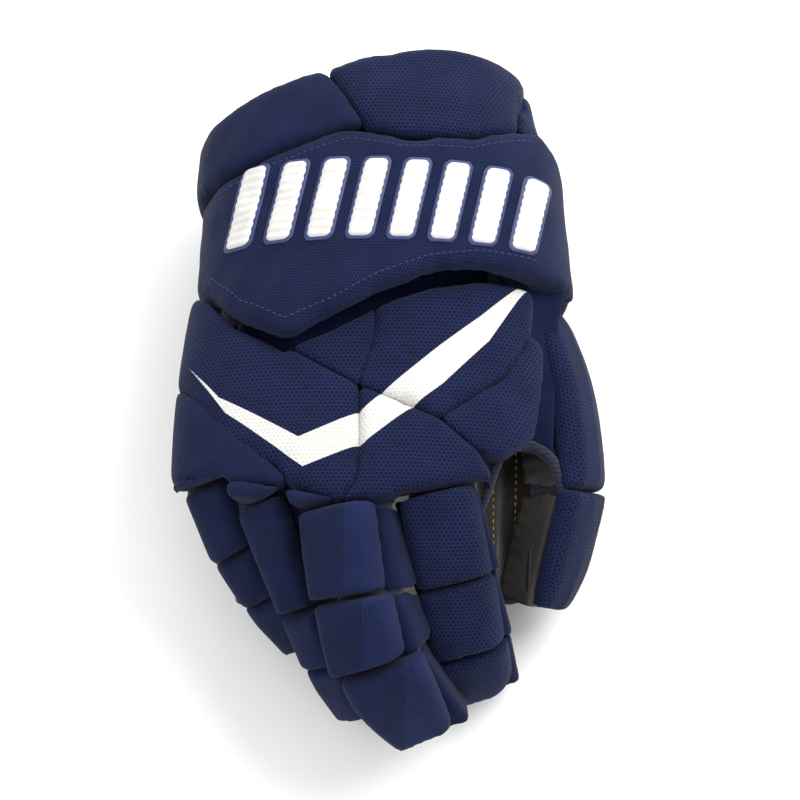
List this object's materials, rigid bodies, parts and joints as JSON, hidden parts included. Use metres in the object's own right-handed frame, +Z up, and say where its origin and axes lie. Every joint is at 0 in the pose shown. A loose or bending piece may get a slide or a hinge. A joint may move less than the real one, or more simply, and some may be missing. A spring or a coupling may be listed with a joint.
{
  "type": "ice hockey glove",
  "caption": "Padded right-hand ice hockey glove with wide cuff, segmented finger pads and jointed fingers, thumb and wrist.",
  "frame": {"origin": "centre of the bounding box's base, on the surface the glove lies on", "axes": "+X towards the thumb side, +Y from fingertips to cuff, +Z up through the backhand"},
  "size_m": [0.1979, 0.3245, 0.1133],
  "materials": {
    "pad_fabric": "navy woven polyester mesh",
    "band_fabric": "navy honeycomb mesh",
    "roll_fabric": "navy knit",
    "palm_leather": "black microfibre leather",
    "lining": "dark brushed lining",
    "foam": "closed cell foam",
    "plastic_insert": "white polyethylene sheet"
  },
  "bodies": {
    "hand": {"palm": "palm_leather", "backhand_liner": "lining", "backhand_insert": "plastic_insert", "backhand_foam": "foam", "knuckle_roll": "roll_fabric", "backhand_pad_upper_ulnar": "pad_fabric", "backhand_pad_lower_ulnar": "pad_fabric", "backhand_pad_upper_radial": "pad_fabric", "backhand_pad_mid_radial": "pad_fabric", "backhand_pad_lower_radial": "pad_fabric", "backhand_pad_side": "pad_fabric"},
    "cuff": {"cuff_band": "band_fabric", "cuff_foam": "foam", "cuff_lining": "lining", "wrist_strap": "palm_leather", "cuff_roll_ulnar": "roll_fabric", "cuff_roll_dorsal": "roll_fabric", "cuff_roll_radial": "roll_fabric"},
    "little_1": {"little_stall_1": "palm_leather", "little_pad_1": "pad_fabric", "little_foam_1": "foam"},
    "little_2": {"little_stall_2": "palm_leather", "little_pad_2": "pad_fabric", "little_foam_2": "foam"},
    "little_3": {"little_stall_3": "palm_leather", "little_pad_3": "pad_fabric", "little_foam_3": "foam"},
    "ring_1": {"ring_stall_1": "palm_leather", "ring_pad_1": "pad_fabric", "ring_foam_1": "foam"},
    "ring_2": {"ring_stall_2": "palm_leather", "ring_pad_2": "pad_fabric", "ring_foam_2": "foam"},
    "ring_3": {"ring_stall_3": "palm_leather", "ring_pad_3": "pad_fabric", "ring_foam_3": "foam"},
    "middle_1": {"middle_stall_1": "palm_leather", "middle_pad_1": "pad_fabric", "middle_foam_1": "foam"},
    "middle_2": {"middle_stall_2": "palm_leather", "middle_pad_2": "pad_fabric", "middle_foam_2": "foam"},
    "middle_3": {"middle_stall_3": "palm_leather", "middle_pad_3": "pad_fabric", "middle_foam_3": "foam"},
    "index_1": {"index_stall_1": "palm_leather", "index_pad_1": "pad_fabric", "index_foam_1": "foam"},
    "index_2": {"index_stall_2": "palm_leather", "index_pad_2": "pad_fabric", "index_foam_2": "foam"},
    "index_3": {"index_stall_3": "palm_leather", "index_pad_3": "pad_fabric", "index_foam_3": "foam"},
    "thumb_1": {"thumb_stall_1": "palm_leather", "thumb_pad_1": "pad_fabric", "thumb_foam_1": "foam"},
    "thumb_2": {"thumb_stall_2": "palm_leather", "thumb_pad_2": "pad_fabric", "thumb_foam_2": "foam"}
  },
  "joints": [
    {"name": "wrist_flex", "type": "hinge", "parent": "hand", "child": "cuff", "pos_m": [0, 0.044, 0.088], "axis": [1, 0, 0], "range_deg": [-6, 6]},
    {"name": "little_knuckle", "type": "hinge", "parent": "hand", "child": "little_1", "pos_m": [-0.0785, -0.042, 0.0635], "axis": [1, 0, 0], "range_deg": [-4.1, 18.1]},
    {"name": "little_middle", "type": "hinge", "parent": "little_1", "child": "little_2", "pos_m": [-0.06749, -0.06457, 0.049], "axis": [1, 0, 0], "range_deg": [-4.1, 18.1]},
    {"name": "little_tip", "type": "hinge", "parent": "little_2", "child": "little_3", "pos_m": [-0.05508, -0.07885, 0.03422], "axis": [1, 0, 0], "range_deg": [-2.5, 10.9]},
    {"name": "ring_knuckle", "type": "hinge", "parent": "hand", "child": "ring_1", "pos_m": [-0.0505, -0.053, 0.07], "axis": [1, 0, 0], "range_deg": [-4.1, 18.1]},
    {"name": "ring_middle", "type": "hinge", "parent": "ring_1", "child": "ring_2", "pos_m": [-0.0314, -0.09217, 0.05239], "axis": [1, 0, 0], "range_deg": [-4.1, 18.1]},
    {"name": "ring_tip", "type": "hinge", "parent": "ring_2", "child": "ring_3", "pos_m": [-0.02129, -0.10967, 0.03603], "axis": [1, 0, 0], "range_deg": [-2.5, 10.9]},
    {"name": "middle_knuckle", "type": "hinge", "parent": "hand", "child": "middle_1", "pos_m": [-0.013, -0.061, 0.08], "axis": [1, 0, 0], "range_deg": [-4, 18]},
    {"name": "middle_middle", "type": "hinge", "parent": "middle_1", "child": "middle_2", "pos_m": [-0.00791, -0.09719, 0.07421], "axis": [1, 0, 0], "range_deg": [-4, 18]},
    {"name": "middle_tip", "type": "hinge", "parent": "middle_2", "child": "middle_3", "pos_m": [-0.00186, -0.11978, 0.06071], "axis": [1, 0, 0], "range_deg": [-2.5, 10.9]},
    {"name": "index_knuckle", "type": "hinge", "parent": "hand", "child": "index_1", "pos_m": [0.0245, -0.05, 0.072], "axis": [1, 0, 0], "range_deg": [-4.1, 18.1]},
    {"name": "index_middle", "type": "hinge", "parent": "index_1", "child": "index_2", "pos_m": [0.03261, -0.08254, 0.05636], "axis": [1, 0, 0], "range_deg": [-4.1, 18.1]},
    {"name": "index_tip", "type": "hinge", "parent": "index_2", "child": "index_3", "pos_m": [0.03847, -0.10441, 0.03668], "axis": [1, 0, 0], "range_deg": [-2.5, 10.9]},
    {"name": "thumb_base", "type": "hinge", "parent": "hand", "child": "thumb_1", "pos_m": [0.0675, 0.038, 0.052], "axis": [0.4026, 0.1597, -0.9013], "range_deg": [-18, 0]},
    {"name": "thumb_tip", "type": "hinge", "parent": "thumb_1", "child": "thumb_2", "pos_m": [0.07979, -0.0396, 0.04374], "axis": [0.4961, 0.2186, -0.8403], "range_deg": [-18, 0]}
  ],
  "couplings": [
    {"joint": "little_knuckle", "follows": "middle_knuckle", "ratio": 1},
    {"joint": "little_middle", "follows": "middle_middle", "ratio": 1},
    {"joint": "little_tip", "follows": "middle_middle", "ratio": 0.6},
    {"joint": "ring_knuckle", "follows": "middle_knuckle", "ratio": 1},
    {"joint": "ring_middle", "follows": "middle_middle", "ratio": 1},
    {"joint": "ring_tip", "follows": "middle_middle", "ratio": 0.6},
    {"joint": "middle_tip", "follows": "middle_middle", "ratio": 0.6},
    {"joint": "index_knuckle", "follows": "middle_knuckle", "ratio": 1},
    {"joint": "index_middle", "follows": "middle_middle", "ratio": 1},
    {"joint": "index_tip", "follows": "middle_middle", "ratio": 0.6}
  ]
}
